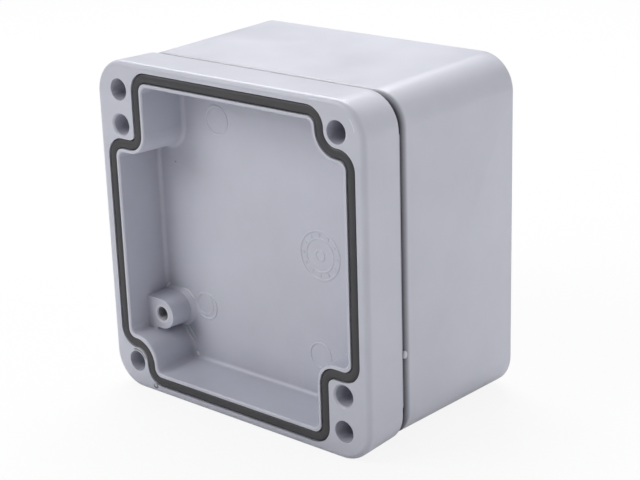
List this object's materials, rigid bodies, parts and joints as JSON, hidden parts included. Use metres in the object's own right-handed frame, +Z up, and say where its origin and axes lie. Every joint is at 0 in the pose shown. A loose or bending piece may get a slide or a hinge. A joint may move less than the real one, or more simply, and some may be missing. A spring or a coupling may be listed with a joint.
{
  "type": "die-cast aluminium enclosure",
  "caption": "Deep cast box with a shallow lid, a seal laid in the lid's winding groove and corner posts for its screws; shown open, standing back to back.",
  "frame": {"origin": "bottom centre of the whole arrangement, on the surface that both halves stand on", "axes": "+Z up; -Y out of the lid's open sealed side; +Y out of the base's open rim; +X to the right when looking into the lid"},
  "size_m": [0.12, 0.0838, 0.122],
  "materials": {
    "casting": "satin powder coat, light grey",
    "seal": "matt",
    "screw": "bright stainless"
  },
  "bodies": {
    "root": {"lid": "casting", "lid_gasket": "seal", "base": "casting", "lid_screw_1": "screw", "lid_screw_2": "screw", "lid_screw_3": "screw", "lid_screw_4": "screw"}
  },
  "joints": []
}
